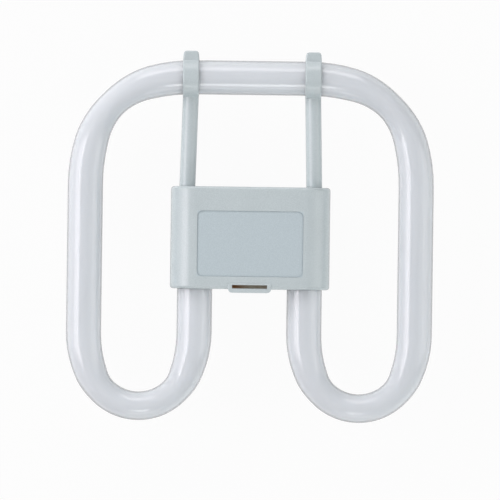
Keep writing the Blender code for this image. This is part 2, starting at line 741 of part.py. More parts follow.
def build_seal_ring(side, x, finish):
    """Ring of sealing compound round a leg, on the housing's lower wall."""
    inner = TUBE_RADIUS + SEAT_GAP
    outer = CAVITY_RADIUS - SEAT_GAP
    low_y = CAVITY_BOTTOM_Y + SEAT_GAP
    high_y = low_y + SEAL_RING_HEIGHT
    sides = 2 * HALF_TURN_STEPS
    profile = ((outer, low_y), (outer, high_y), (inner, high_y), (inner, low_y))
    rings = [[(a, y, b) for a, b in circle(x, TUBE_PLANE_Z, size, sides)] for size, y in profile]
    loft("seal_ring_" + side, rings, finish, ring_closed=True)


def main():
    clear_scene()
    opal_glass = material("opal_glass", (0.66, 0.67, 0.71), 0.12)
    housing_plastic = material("housing_plastic", (0.50, 0.55, 0.57), 0.38)
    insert_plastic = material("insert_plastic", (0.16, 0.07, 0.02), 0.45)
    pin_brass = material("pin_brass", (0.78, 0.60, 0.28), 0.25, 1.0)
    lead_metal = material("lead_metal", (0.62, 0.60, 0.58), 0.35, 1.0)
    sleeve_white = material("sleeve_white", (0.72, 0.71, 0.66), 0.60)
    seal_compound = material("seal_compound", (0.62, 0.62, 0.60), 0.70)

    shared_cutters = [housing_cavity(), *leg_holes(), socket_mouth()]
    build_discharge_tube(opal_glass)
    build_front_cover(housing_plastic, shared_cutters)
    build_rear_shell(housing_plastic, shared_cutters)
    build_pin_carrier(insert_plastic)
    for number, x, z in pin_places():
        build_contact_pin(number, x, z, pin_brass)
        sign_x = int(copysign(1, x))
        sign_z = int(copysign(1, z - SOCKET_MIDDLE_Z))
        build_lead(number, sign_x, sign_z, lead_metal, sleeve_white)
    build_seal_ring("left", -INNER_LEG_X, seal_compound)
    build_seal_ring("right", INNER_LEG_X, seal_compound)


main()
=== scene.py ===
"""Looks of a flat square fluorescent lamp: glass tube, housing, clips, socket and stage."""

import json
from math import acos, atan2, cos, hypot, pi, radians, sin

import bmesh
import bpy
from bpy.props import FloatProperty, FloatVectorProperty, IntProperty, PointerProperty
from mathutils import Matrix, Vector

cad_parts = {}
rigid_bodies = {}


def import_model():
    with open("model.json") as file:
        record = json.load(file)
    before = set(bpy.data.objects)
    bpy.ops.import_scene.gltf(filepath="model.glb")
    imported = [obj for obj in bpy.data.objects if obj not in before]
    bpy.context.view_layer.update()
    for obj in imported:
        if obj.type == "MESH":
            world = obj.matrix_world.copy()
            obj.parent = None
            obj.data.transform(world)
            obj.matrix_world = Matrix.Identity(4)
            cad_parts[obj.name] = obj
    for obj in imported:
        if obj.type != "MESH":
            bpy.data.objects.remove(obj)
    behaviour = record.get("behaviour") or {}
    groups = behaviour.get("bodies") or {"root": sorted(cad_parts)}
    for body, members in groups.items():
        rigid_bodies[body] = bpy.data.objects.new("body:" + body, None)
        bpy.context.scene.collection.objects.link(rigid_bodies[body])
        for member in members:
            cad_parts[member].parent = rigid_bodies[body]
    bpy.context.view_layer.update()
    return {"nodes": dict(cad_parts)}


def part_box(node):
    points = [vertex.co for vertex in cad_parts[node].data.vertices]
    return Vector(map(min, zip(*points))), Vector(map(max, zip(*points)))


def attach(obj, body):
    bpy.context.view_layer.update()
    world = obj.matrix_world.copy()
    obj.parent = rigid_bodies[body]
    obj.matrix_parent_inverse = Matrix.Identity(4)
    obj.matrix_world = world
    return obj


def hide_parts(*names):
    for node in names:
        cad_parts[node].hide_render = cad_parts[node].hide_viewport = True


bl_info = {
    "name": "Square fluorescent lamp",
    "version": (1, 0, 0),
    "blender": (4, 5, 0),
    "location": "3D View > Sidebar > Lamp",
    "description": "Builds the looks of a flat square fluorescent lamp",
    "category": "Add Mesh",
}

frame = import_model()

TUBE_LOW, TUBE_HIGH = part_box("discharge_tube")
COVER_LOW, COVER_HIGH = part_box("front_cover")
INSERT_LOW, INSERT_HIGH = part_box("pin_carrier")
RING_LOW, RING_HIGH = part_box("seal_ring_right")
PIN_LOW, PIN_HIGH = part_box("contact_pin_1")

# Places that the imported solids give
TUBE_PLANE = (TUBE_LOW.z + TUBE_HIGH.z) / 2
TUBE_RADIUS = (TUBE_HIGH.z - TUBE_LOW.z) / 2
INNER_LEG_X = (RING_LOW.x + RING_HIGH.x) / 2
OUTER_LEG_X = TUBE_HIGH.x - TUBE_RADIUS
END_RADIUS = COVER_HIGH.x - INNER_LEG_X
FRONT_Z = TUBE_PLANE + END_RADIUS
BACK_Z = TUBE_PLANE - END_RADIUS
HOUSING_TOP_Y = COVER_HIGH.y
LIP_DROP = 0.00135
HOUSING_BOTTOM_Y = COVER_LOW.y + LIP_DROP
TOP_RUN_PINCH = 0.0004
TOP_RUN_Y = TUBE_HIGH.y - TUBE_RADIUS + TOP_RUN_PINCH / 2

# Directions
UP = Vector((0.0, 1.0, 0.0))
OUT = Vector((0.0, 0.0, 1.0))

SEAT_GAP = 0.0003
OVERRUN = 0.002
TINY = 0.00001
MERGE = TINY / 5

# Turns past which an edge counts as sharp, or a face is shaded apart
EDGE_ANGLE = radians(60)
CLIP_EDGE_ANGLE = radians(50)
SOFT_ANGLE = radians(40)
TUBE_SHADE_ANGLE = radians(40)
SHADE_ANGLE = radians(35)

# Cosines past which an edge runs along a direction, or a face looks in it
RUNS_ALONG = 0.999
LOOKS_IN = 0.9

# Steps of a leg's taper, of its tip's round end and of a pin's point
SEAL_STEPS = 8
TIP_STEPS = 4
TIP_TURN = radians(90) / (TIP_STEPS + 0.6)
PIN_STEPS = 8

# Radii of a pin's flat point and of its first ring, as shares of the pin's own
PIN_FLAT = 0.25
PIN_RING = 0.3

FLOOR_SIZE = 6.0
FLOOR_DROP = 0.0005
FLOOR_BOUNCE = 0.6
FLOOR_EVENNESS = 0.95
LAMP_REACH = 1.2
LAMP_AIM = Vector((0.0, 0.0, 0.018))


def length(name, text, value):
    """A length that the panel shows in the scene's own unit."""
    return FloatProperty(name=name, description=text, default=value, unit="LENGTH", precision=5)


def turn(name, text, degrees):
    """An angle that the panel shows in degrees."""
    value = radians(degrees)
    return FloatProperty(name=name, description=text, default=value, subtype="ANGLE")


def amount(name, text, value, low=0.0, high=10.0):
    return FloatProperty(name=name, description=text, default=value, min=low, max=high)


def colour(name, text, value):
    return FloatVectorProperty(
        name=name, description=text, default=value, subtype="COLOR", size=3, min=0.0, max=1.0
    )


class TubeSizes(bpy.types.PropertyGroup):
    """Sizes of the folded glass tube."""

    top_run_pinch: length("Top run pinch", "How much narrower the top run is", TOP_RUN_PINCH)
    corner_reach: length("Corner reach", "From a leg's axis to its corner's end", 0.0322)
    corner_tightening: length("Corner tightening", "How much tighter its middle is", 0.0011)
    return_tightening: length("Return tightening", "How much tighter its middle is", 0.0018)
    ease_ratio: amount("Ease ratio", "Radius of a bend's gentle ends over its reach", 2.0)
    bend_pinch: length("Bend pinch", "How much narrower the tube is in its bends", 0.0025)
    pinch_angle: turn("Pinch angle", "Turn over which a bend narrows", 48)
    sides: IntProperty(name="Sides", description="Sides of the round tube", default=56, min=12)
    bend_step: turn("Bend step", "Turn between two rings of a bend", 4)
    press_end_y: length("Press end", "Height of the flat press's end", 0.0115)
    press_length: length("Press length", "Length of the flat press", 0.005)
    press_width: length("Press width", "Width of the flat press", 0.0095)
    press_thickness: length("Press thickness", "Thickness of the flat press", 0.0028)
    seal_taper: length("Seal taper", "Length over which a leg narrows to its press", 0.0065)
    tip_diameter: length("Tip diameter", "Diameter of the exhaust tip", 0.0026)
    tip_length: length("Tip length", "Length of the exhaust tip", 0.0026)


class HousingSizes(bpy.types.PropertyGroup):
    """Sizes of the two halves of the housing."""

    wall: length("Wall", "Thickness of the housing's walls", 0.0015)
    edge_round: length("Edge round", "Rounding of the upper and lower edges", 0.0012)
    bottom_y: length("Bottom", "Height of the housing's lower face", HOUSING_BOTTOM_Y)
    panel_width: length("Panel width", "Width of the blank label panel", 0.0399)
    panel_height: length("Panel height", "Height of the blank label panel", 0.0247)
    panel_middle_y: length("Panel middle", "Height of the middle of the label panel", -0.0029)
    panel_corner: length("Panel corner", "Corner radius of the label panel", 0.0022)
    panel_depth: length("Panel depth", "How far the label panel is sunk", 0.00025)
    panel_groove: length("Panel groove", "Width and depth of the groove round it", 0.00012)
    lip_root_width: length("Lip root width", "Width of the latch lip at its root", 0.0163)
    lip_foot_width: length("Lip foot width", "Width of the latch lip at its foot", 0.0143)
    lip_rise: length("Lip rise", "How far the latch lip stands proud of the front", 0.0003)
    lip_shoulder: length("Lip shoulder", "Drop of its sides below the edge", 0.00045)
    lip_corner: length("Lip corner", "Rounding of the lip's corners", 0.0006)
    lip_edge: length("Lip edge", "Rounding of the lip's raised edge", 0.00028)
    window_width: length("Window width", "Width of the latch window", 0.0132)
    window_height: length("Window height", "Height of the latch window", 0.0014)
    window_raise: length("Window raise", "From the lower face to the window", 0.0002)
    window_rim: length("Window rim", "Rim above the latch window", 0.0005)
    block_width: length("Block width", "Width of the block behind the housing", 0.035)
    block_margin: length("Block margin", "Step from the housing's ends to the block", 0.0016)
    block_corner: length("Block corner", "Corner radius of the block", 0.003)
    block_draft: length("Block draft", "How much the block narrows to its back", 0.0004)
    block_edge: length("Block edge", "Rounding of the block's back edge", 0.0008)
    rib_rise: length("Rib rise", "Step from the hollow's faces to the socket's mouth", 0.0004)


class ClipSizes(bpy.types.PropertyGroup):
    """Sizes of the two arms and their tube clips."""

    arm_diameter: length("Arm diameter", "Diameter of the round arms", 0.006)
    root_x: length("Arm root", "Place of an arm at the housing", 0.024)
    tip_x: length("Arm tip", "Place of an arm at its clip", 0.0231)
    root_sink: length("Root sink", "How far an arm runs into the housing's hollow", 0.0008)
    width: length("Clip width", "Width of a clip along the tube", 0.0061)
    wall: length("Clip wall", "Thickness of a clip", 0.00095)
    tip_reach: length("Tip reach", "From the tube's middle plane to a tip's front", 0.00486)
    tip_height: length("Tip height", "Height of a clip's tip over the tube's axis", 0.0099)
    tip_width: length("Tip width", "Width of a clip at the end of its tips", 0.0056)
    tip_corner: length("Tip corner", "Corner radius of a clip's tip", 0.0012)
    throat_round: length("Throat round", "Rounding between a clip's jaw and its tip", 0.0008)
    outer_round: length("Outer round", "Rounding of a clip's outer edges", 0.0006)
    inner_round: length("Inner round", "Rounding of a clip's inner edges", 0.00015)


class SocketSizes(bpy.types.PropertyGroup):
    """Sizes of the socket insert and its pins."""

    width: length("Socket width", "Clear width of the socket", 0.0158)
    depth: length("Socket depth", "Depth of the socket", 0.0142)
    back_wall: length("Back wall", "Thickness of the insert's back wall", 0.0015)
    pin_diameter: length("Pin diameter", "Diameter of the contact pins", 0.0024)
    collar_diameter: length("Collar diameter", "Diameter of a pin's collar", 0.0036)
    collar_height: length("Collar height", "Height of a pin's collar", 0.0008)
    tail_diameter: length("Tail diameter", "Diameter of a pin's tail", 0.0012)
    edge_round: length("Edge round", "Rounding of the insert's edges", 0.0002)


class Finishes(bpy.types.PropertyGroup):
    """Colours of the lamp's finishes."""

    glass: colour("Glass", "Coated glass of the tube", (0.674, 0.707, 0.737))
    housing: colour("Housing", "Moulded plastic of the housing and clips", (0.526, 0.594, 0.61))
    panel: colour("Panel", "Blank label panel of the housing", (0.5, 0.582, 0.616))
    insert: colour("Insert", "Plastic of the socket insert", (0.23, 0.105, 0.03))
    # Painted light: the lighter grey painted over the insert's right side, where light falls on
    # it.
    insert_painted_light: colour("Insert bloom", "Greyer tone of its right side", (0.38, 0.345, 0.275))
    brass: colour("Brass", "Metal of the contact pins", (0.80, 0.62, 0.32))
    lead: colour("Lead", "Metal of the lead wires", (0.62, 0.60, 0.58))
    sleeve: colour("Sleeve", "Sleeves on the lead wires", (0.72, 0.71, 0.66))
    seal: colour("Seal", "Compound of the seal rings", (0.62, 0.62, 0.60))


class StageSettings(bpy.types.PropertyGroup):
    """Camera, lamps and floor."""

    yaw: turn("Yaw", "The camera's turn to the left", 0.0)
    pitch: turn("Pitch", "The camera's rise over level", 0.0)
    roll: turn("Roll", "Turn of the camera about its own axis", 0.77)
    distance: length("Distance", "From the camera to the tube's plane", 2.5)
    view_height: length("View height", "Height of the view at the tube's plane", 0.18878)
    target_x: length("Target x", "Place at the middle of the view", 0.0)
    target_y: length("Target y", "Place at the middle of the view", -0.00518)
    floor_tone: amount("Floor tone", "Brightness of the pale floor", 1.0, 0.0, 1.0)
    sky_level: amount("Sky level", "Strength of the even light", 0.18)


# Modelling by hand: small steps that every piece uses


def deselect():
    if bpy.context.mode != "OBJECT":
        bpy.ops.object.mode_set(mode="OBJECT")
    bpy.ops.object.select_all(action="DESELECT")


def named(name):
    """Name the primitive just added and put its place into its mesh."""
    piece = bpy.context.object
    piece.name = name
    piece.data.name = name
    bpy.ops.object.transform_apply(location=True, rotation=True, scale=True)
    return piece


def take(piece):
    deselect()
    piece.select_set(True)
    bpy.context.view_layer.objects.active = piece


def start_shaping(piece, kind="EDGE"):
    take(piece)
    bpy.ops.object.mode_set(mode="EDIT")
    bpy.ops.mesh.select_mode(type=kind)


def pick(kind, test):
    """Select the edges or faces that pass a test."""
    bpy.ops.mesh.select_mode(type=kind)
    bpy.ops.mesh.select_all(action="DESELECT")
    mesh = bpy.context.object.data
    shape = bmesh.from_edit_mesh(mesh)
    shape.normal_update()
    found = [item for item in (shape.edges if kind == "EDGE" else shape.faces) if test(item)]
    for item in found:
        item.select_set(True)
    shape.select_flush_mode()
    bmesh.update_edit_mesh(mesh)
    if not found:
        raise RuntimeError("nothing was found to shape on " + bpy.context.object.name)


def pick_all():
    bpy.ops.mesh.select_all(action="SELECT")


def finish_shaping():
    """Merge doubles, turn the faces outwards, leave edit mode and hand over the piece."""
    pick_all()
    bpy.ops.mesh.remove_doubles(threshold=MERGE)
    bpy.ops.mesh.normals_make_consistent(inside=False)
    bpy.ops.object.mode_set(mode="OBJECT")
    return bpy.context.object


def middle(item):
    """Middle of an edge or a face."""
    if isinstance(item, bmesh.types.BMEdge):
        return (item.verts[0].co + item.verts[1].co) / 2
    return item.calc_center_median()


def runs_along(edge, direction):
    return abs((edge.verts[1].co - edge.verts[0].co).normalized().dot(direction)) > RUNS_ALONG


def is_sharp(edge, angle=EDGE_ANGLE):
    return len(edge.link_faces) == 2 and edge.calc_face_angle(0.0) > angle


def looks(face, direction):
    return face.normal.dot(direction) > LOOKS_IN


def near(value, goal):
    return abs(value - goal) < TINY


def round_edges(offset, segments):
    bpy.ops.mesh.bevel(
        offset=offset, segments=segments, profile=0.5, affect="EDGES", clamp_overlap=False
    )


def push(move):
    """Extrude what is selected by a move."""
    bpy.ops.mesh.extrude_region_move(TRANSFORM_OT_translate={"value": tuple(move)})


def swing(angle, centre):
    """Turn what is selected to the left about the Z axis through a point."""
    bpy.ops.transform.rotate(value=-angle, orient_axis="Z", center_override=tuple(centre))


def stretch(x, y, z, centre):
    """Scale what is selected along the axes about a point."""
    bpy.ops.transform.resize(value=(x, y, z), center_override=tuple(centre))


def squeeze(factor, direction, centre):
    """Scale what is selected along one direction in the tube's plane."""
    across = direction.normalized()
    other = OUT.cross(across)
    turned = Matrix((across, other, OUT)).transposed()
    bpy.ops.transform.resize(
        value=(factor, 1.0, 1.0),
        orient_type="GLOBAL",
        orient_matrix=turned,
        orient_matrix_type="GLOBAL",
        constraint_axis=(True, False, False),
        center_override=tuple(centre),
    )


def block(name, half_width, low_y, high_y, low_z, high_z):
    """Block that reaches as far to the left as to the right."""
    deselect()
    low = Vector((-half_width, low_y, low_z))
    high = Vector((half_width, high_y, high_z))
    bpy.ops.mesh.primitive_cube_add(size=1.0, location=(low + high) / 2, scale=high - low)
    return named(name)


def rounded_block(name, sides, radius, segments, direction=OUT):
    """Block whose edges along one direction are rounded, left in edit mode."""
    start_shaping(block(name, *sides))
    pick("EDGE", lambda edge: runs_along(edge, direction))
    round_edges(radius, segments)


def bar(name, radius, x, z, low_y, high_y, sides=64):
    """Round bar that runs up, as a cutter."""
    deselect()
    bpy.ops.mesh.primitive_cylinder_add(
        vertices=sides,
        radius=radius,
        depth=high_y - low_y,
        location=(x, (low_y + high_y) / 2, z),
        rotation=UP.to_track_quat("Z", "Y").to_euler(),
    )
    return named(name)


def disc(name, radius, place, sides):
    """Round face that looks along the Y axis, left selected in edit mode to be pulled."""
    deselect()
    bpy.ops.mesh.primitive_circle_add(
        vertices=sides,
        radius=radius,
        fill_type="NGON",
        location=place,
        rotation=(radians(90), 0.0, 0.0),
    )
    piece = named(name)
    start_shaping(piece, "FACE")
    pick_all()
    return piece


def pull_up(x, y, z, width, rings):
    """Pull a round end face up through rings, each with its height, width and depth."""
    depth = width
    for new_y, new_width, new_depth in rings:
        push((0.0, new_y - y, 0.0))
        stretch(new_width / width, 1.0, new_depth / depth, (x, new_y, z))
        y, width, depth = new_y, new_width, new_depth


def apply_step(piece, label, kind, **settings):
    """Give a piece a modifier with its settings, and apply it."""
    step = piece.modifiers.new(label, kind)
    for key, value in settings.items():
        setattr(step, key, value)
    take(piece)
    bpy.ops.object.modifier_apply(modifier=step.name)


def shape_with(piece, cutter, operation="DIFFERENCE"):
    """Cut a piece with another, or join it, and take the other away."""
    before = len(piece.data.polygons)
    apply_step(piece, cutter.name, "BOOLEAN", operation=operation, solver="EXACT", object=cutter)
    bpy.data.objects.remove(cutter, do_unlink=True)
    if len(piece.data.polygons) < before / 2:
        raise RuntimeError("too little is left of " + piece.name)


def soften(piece, width, segments, angle=SOFT_ANGLE):
    """Small rounding that a mould leaves on every sharp edge."""
    settings = {"width": width, "segments": segments, "angle_limit": angle}
    settings |= {"limit_method": "ANGLE", "use_clamp_overlap": True}
    apply_step(piece, "soft edges", "BEVEL", **settings)


def shade(piece, angle=SHADE_ANGLE, weighted=True):
    """Smooth shading, with flat faces kept flat."""
    take(piece)
    bpy.ops.object.shade_smooth_by_angle(angle=angle)
    if weighted:
        apply_step(piece, "even shading", "WEIGHTED_NORMAL", keep_sharp=True, weight=60)


def deliver(piece, finish, slot_name, *nodes):
    """Give a finished piece its material and its place, and hide the nodes that it stands for."""
    piece.data.materials.clear()
    piece.data.materials.append(finish)
    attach(piece, "root")
    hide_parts(*nodes)


# Materials


class Nodes:
    """Nodes of a material or a world, added and filled one at a time."""

    def __init__(self, owner, output_kind):
        owner.use_nodes = True
        self.tree = owner.node_tree
        self.tree.nodes.clear()
        self.output = self.tree.nodes.new(output_kind)

    def put(self, source, target):
        if hasattr(source, "is_output"):
            self.tree.links.new(source, target)
        else:
            target.default_value = source

    def add(self, kind, values=None, **settings):
        """Add a node, with its settings and with values or links for its inputs."""
        node = self.tree.nodes.new(kind)
        for key, value in settings.items():
            setattr(node, key, value)
        for key, value in (values or {}).items():
            self.put(value, node.inputs[key])
        return node

    def math(self, operation, *values):
        node = self.add("ShaderNodeMath", dict(enumerate(values)), operation=operation)
        return node.outputs["Value"]

    def mixed(self, share, first, second):
        values = {0: share, 1: first.outputs[0], 2: second.outputs[0]}
        return self.add("ShaderNodeMixShader", values)

    def show(self, shader):
        """Give a shader to the output."""
        self.put(shader.outputs[0], self.output.inputs["Surface"])


class Recipe(Nodes):
    """A material on one main shader."""

    def __init__(self, name):
        self.material = bpy.data.materials.new(name)
        super().__init__(self.material, "ShaderNodeOutputMaterial")
        self.shader = self.add("ShaderNodeBsdfPrincipled")
        self.show(self.shader)
        self.place = self.add("ShaderNodeTexCoord").outputs["Object"]

    def stretched(self, scale):
        values = {"Vector": self.place, "Scale": scale}
        return self.add("ShaderNodeMapping", values).outputs["Vector"]

    def parts(self):
        """The three coordinates of a place."""
        return self.add("ShaderNodeSeparateXYZ", {"Vector": self.place}).outputs

    def facing(self):
        """Value that grows from 0 to 1 as a surface turns away from the view."""
        return self.add("ShaderNodeLayerWeight", {"Blend": 0.5}).outputs["Facing"]

    def noise(self, scale, detail=2.0, roughness=0.5, place=None):
        values = {"Scale": scale, "Detail": detail, "Roughness": roughness}
        values["Vector"] = place or self.place
        return self.add("ShaderNodeTexNoise", values).outputs["Fac"]

    def ramp(self, source, low, high, start, end):
        """Map a value between two limits on to a new range."""
        values = {"Value": source, "From Min": low, "From Max": high}
        values |= {"To Min": start, "To Max": end}
        return self.add("ShaderNodeMapRange", values).outputs["Result"]

    def blend(self, share, first, second):
        values = {"Factor": share, "A": first, "B": second}
        return self.add("ShaderNodeMix", values, data_type="RGBA").outputs["Result"]

    def bump(self, height, distance, below=None):
        values = {"Height": height, "Distance": distance}
        if below is not None:
            values["Normal"] = below
        return self.add("ShaderNodeBump", values).outputs["Normal"]

    def set(self, **values):
        """Fill inputs of the main shader, with underscores for the spaces in their names."""
        for key, value in values.items():
            self.put(value, self.shader.inputs[key.replace("_", " ")])
        return self.material


def tone(base, factor):
    return (*(min(1.0, part * factor) for part in base), 1.0)


def coated_glass(finishes):
    """White powder behind clear glass: an even body under a clean, slightly wavy gloss, and
    painted shade on its edges.
    """
    base = finishes.glass
    mix = Recipe("coated_glass")
    cloud = mix.noise(scale=55.0, detail=3.0)
    grain = mix.noise(scale=2600.0, roughness=0.6)
    waves = mix.noise(scale=90.0, detail=1.0)
    body = mix.blend(mix.ramp(cloud, 0.35, 0.65, 0.0, 1.0), tone(base, 0.985), tone(base, 1.0))
    body = mix.blend(mix.ramp(grain, 0.45, 0.75, 0.0, 0.35), body, tone(base, 0.95))
    # Painted shade: the body darkens where the surface turns away from the view, drawing dark
    # outlines on the tube's edges.
    body = mix.blend(mix.ramp(mix.facing(), 0.53, 0.88, 0.0, 1.0), body, tone(base, 0.3))
    return mix.set(
        Base_Color=body,
        Roughness=mix.ramp(cloud, 0.3, 0.7, 0.12, 0.15),
        Normal=mix.bump(waves, distance=0.00006),
        IOR=1.5,
        Specular_IOR_Level=0.8,
        Subsurface_Weight=0.85,
        Subsurface_Radius=(1.0, 1.0, 1.0),
        Subsurface_Scale=0.008,
    )


def panel_share(mix, housing):
    """Share that is 1 on the blank label panel and 0 on the rest of the housing."""
    place = mix.parts()
    share = 1.0
    reaches = (
        ("X", 0.0, housing.panel_width / 2),
        ("Y", housing.panel_middle_y, housing.panel_height / 2),
        ("Z", FRONT_Z, 2 * housing.panel_depth),
    )
    for axis, centre, reach in reaches:
        share = mix.math("MULTIPLY", share, mix.math("COMPARE", place[axis], centre, reach))
    return share


def moulded_plastic(name, finishes, housing, grain_depth=0.000012, roughness=0.26):
    """Satin moulded plastic with a fine grain, faint flow clouds, a bluer panel and painted shade
    on its edges.
    """
    base = finishes.housing
    mix = Recipe(name)
    cloud = mix.noise(scale=70.0, detail=3.0)
    fine = mix.noise(scale=4200.0, detail=3.0, roughness=0.6)
    coarse = mix.noise(scale=900.0)
    body = mix.blend(mix.ramp(cloud, 0.3, 0.7, 0.0, 1.0), tone(base, 0.97), tone(base, 1.02))
    body = mix.blend(panel_share(mix, housing), body, tone(finishes.panel, 1.0))
    # Painted shade: the body darkens where the surface turns away from the view, drawing dark
    # outlines on the edges.
    body = mix.blend(mix.ramp(mix.facing(), 0.7, 0.95, 0.0, 1.0), body, tone(base, 0.35))
    return mix.set(
        Base_Color=body,
        Roughness=mix.ramp(fine, 0.3, 0.7, roughness - 0.04, roughness + 0.06),
        Normal=mix.bump(coarse, grain_depth * 1.5, below=mix.bump(fine, grain_depth)),
        IOR=1.5,
        Specular_IOR_Level=0.75,
    )


def plastic_with_painted_light(name, finishes):
    """Satin brown plastic with painted light that turns it grey across the insert towards its
    right side.
    """
    brown = finishes.insert
    mix = Recipe(name)
    cloud = mix.noise(scale=420.0, detail=3.0)
    fine = mix.noise(scale=4200.0, detail=3.0, roughness=0.6)
    # Painted light: the brown turns grey towards the right, where light falls on the insert.
    painted_light_share = mix.ramp(mix.parts()["X"], -0.0055, 0.0, 0.0, 1.0)
    body = mix.blend(painted_light_share, tone(brown, 1.0), tone(finishes.insert_painted_light, 1.0))
    body = mix.blend(mix.ramp(cloud, 0.4, 0.7, 0.0, 0.3), body, tone(brown, 0.7))
    return mix.set(
        Base_Color=body,
        Roughness=mix.ramp(fine, 0.3, 0.7, 0.38, 0.50),
        Normal=mix.bump(fine, distance=0.00001),
        IOR=1.5,
    )


def turned_metal(name, base, roughness):
    """Turned or drawn metal with fine marks round it and a little tarnish."""
    mix = Recipe(name)
    marks = mix.noise(scale=900.0, place=mix.stretched((0.4, 6.0, 0.4)))
    tarnish = mix.noise(scale=420.0, detail=3.0)
    body = mix.blend(mix.ramp(tarnish, 0.45, 0.75, 0.0, 0.5), tone(base, 1.0), tone(base, 0.72))
    return mix.set(
        Base_Color=body,
        Metallic=1.0,
        Roughness=mix.ramp(marks, 0.3, 0.7, roughness - 0.06, roughness + 0.10),
        Normal=mix.bump(marks, distance=0.00001),
    )


def matt_compound(name, base, roughness):
    """Dull filled compound or fibre sleeve with a coarse grain."""
    mix = Recipe(name)
    grain = mix.noise(scale=1800.0, detail=4.0, roughness=0.65)
    body = mix.blend(mix.ramp(grain, 0.35, 0.7, 0.0, 1.0), tone(base, 0.86), tone(base, 1.05))
    return mix.set(
        Base_Color=body,
        Roughness=mix.ramp(grain, 0.3, 0.7, roughness - 0.08, roughness + 0.08),
        Normal=mix.bump(grain, distance=0.00004),
    )


def housing_finish():
    """The housing's material, made once for its two halves."""
    name = "housing_plastic_grained"
    scene = bpy.context.scene
    made = bpy.data.materials.get(name)
    return made or moulded_plastic(name, scene.lamp_finishes, scene.lamp_housing)


# Glass tube


class Bend:
    """Radii of a bend and of its gentler ends, their angle, and how far they lengthen it."""

    def __init__(self, reach, tightening, ease_ratio):
        self.radius = reach - tightening
        self.ease_radius = ease_ratio * reach
        self.ease = acos((self.ease_radius - reach) / (self.ease_radius - self.radius))
        self.lead = (self.ease_radius - self.radius) * sin(self.ease)


def eased(value):
    value = min(max(value, 0.0), 1.0)
    return value * value * (3 - 2 * value)


class TubeMaker:
    """Pulls the end face of a tube along its route, ring by ring."""

    def __init__(self, sizes, start, heading, width):
        self.sizes = sizes
        self.place = Vector(start)
        self.heading = heading
        self.width = width

    def across(self):
        return Vector((-sin(self.heading), cos(self.heading), 0.0))

    def widen(self, width):
        if abs(width - self.width) > MERGE / 20:
            squeeze(width / self.width, self.across(), self.place)
            self.width = width

    def run(self, distance):
        move = distance * Vector((cos(self.heading), sin(self.heading), 0.0))
        push(move)
        self.place += move

    def turn_right(self, radius, angle):
        centre = self.place - radius * self.across()
        push((0.0, 0.0, 0.0))
        swing(-angle, centre)
        arm = self.place - centre
        self.place = centre + Matrix.Rotation(-angle, 3, "Z") @ arm
        self.heading -= angle

    def bend(self, bend, total, end_width):
        """Turn whose ends are gentler than its middle, and which narrows the tube."""
        start_width = self.width
        turned = 0.0
        gentle = (bend.ease_radius, bend.ease)
        for radius, angle in (gentle, (bend.radius, total - 2 * bend.ease), gentle):
            steps = max(3, round(angle / self.sizes.bend_step))
            for _ in range(steps):
                self.turn_right(radius, angle / steps)
                turned += angle / steps
                width = start_width + (end_width - start_width) * turned / total
                pinch = eased(min(turned, total - turned) / self.sizes.pinch_angle)
                self.widen(width - self.sizes.bend_pinch * pinch)


def seal_end(sizes, x, end_y):
    """Draw a leg's open end up into its flat press and exhaust tip."""
    diameter = 2 * TUBE_RADIUS
    rings = []
    for i in range(1, SEAL_STEPS + 1):
        share = eased(i / SEAL_STEPS)
        width = diameter + (sizes.press_width - diameter) * share
        depth = diameter + (sizes.press_thickness - diameter) * share
        rings.append((end_y + sizes.seal_taper * i / SEAL_STEPS, width, depth))
    press_y = end_y + sizes.seal_taper + sizes.press_length
    tip = sizes.tip_diameter
    round_y = press_y + sizes.tip_length - tip / 2
    rings += [(press_y, width, depth), (press_y, tip, tip), (round_y, tip, tip)]
    for i in range(1, TIP_STEPS + 1):
        width = tip * cos(i * TIP_TURN)
        rings.append((round_y + tip / 2 * sin(i * TIP_TURN), width, width))
    pull_up(x, end_y, TUBE_PLANE, diameter, rings)


class LAMP_OT_glass_tube(bpy.types.Operator):
    """Pull the folded glass tube along its route and press its two ends"""

    bl_idname = "lamp.glass_tube"
    bl_label = "Glass tube"

    def execute(self, context):
        sizes = context.scene.lamp_tube
        diameter = 2 * TUBE_RADIUS
        top_width = diameter - sizes.top_run_pinch
        leg_end_y = sizes.press_end_y - sizes.press_length - sizes.seal_taper
        reach = (OUTER_LEG_X - INNER_LEG_X) / 2
        return_bend = Bend(reach, sizes.return_tightening, sizes.ease_ratio)
        corner = Bend(sizes.corner_reach, sizes.corner_tightening, sizes.ease_ratio)
        bend_foot_y = TUBE_LOW.y + (diameter - sizes.bend_pinch) / 2
        bend_start_y = bend_foot_y + return_bend.radius + return_bend.lead
        leg_run = TOP_RUN_Y - sizes.corner_reach - corner.lead - bend_start_y
        top_run = 2 * (OUTER_LEG_X - sizes.corner_reach - corner.lead)

        start = (-INNER_LEG_X, leg_end_y, TUBE_PLANE)
        tube = disc("glass_tube", TUBE_RADIUS, start, sizes.sides)
        maker = TubeMaker(sizes, start, -pi / 2, diameter)
        maker.run(leg_end_y - bend_start_y)
        maker.bend(return_bend, pi, diameter)
        maker.run(leg_run)
        maker.bend(corner, pi / 2, top_width)
        maker.run(top_run)
        maker.bend(corner, pi / 2, diameter)
        maker.run(leg_run)
        maker.bend(return_bend, pi, diameter)
        maker.run(leg_end_y - bend_start_y)
        seal_end(sizes, INNER_LEG_X, leg_end_y)
        pick("FACE", lambda face: len(face.verts) > 4 and near(middle(face).y, leg_end_y))
        seal_end(sizes, -INNER_LEG_X, leg_end_y)
        finish_shaping()
        shade(tube, TUBE_SHADE_ANGLE, weighted=False)
        finish = coated_glass(context.scene.lamp_finishes)
        deliver(tube, finish, "opal_glass", "discharge_tube")
        return {"FINISHED"}


# Housing


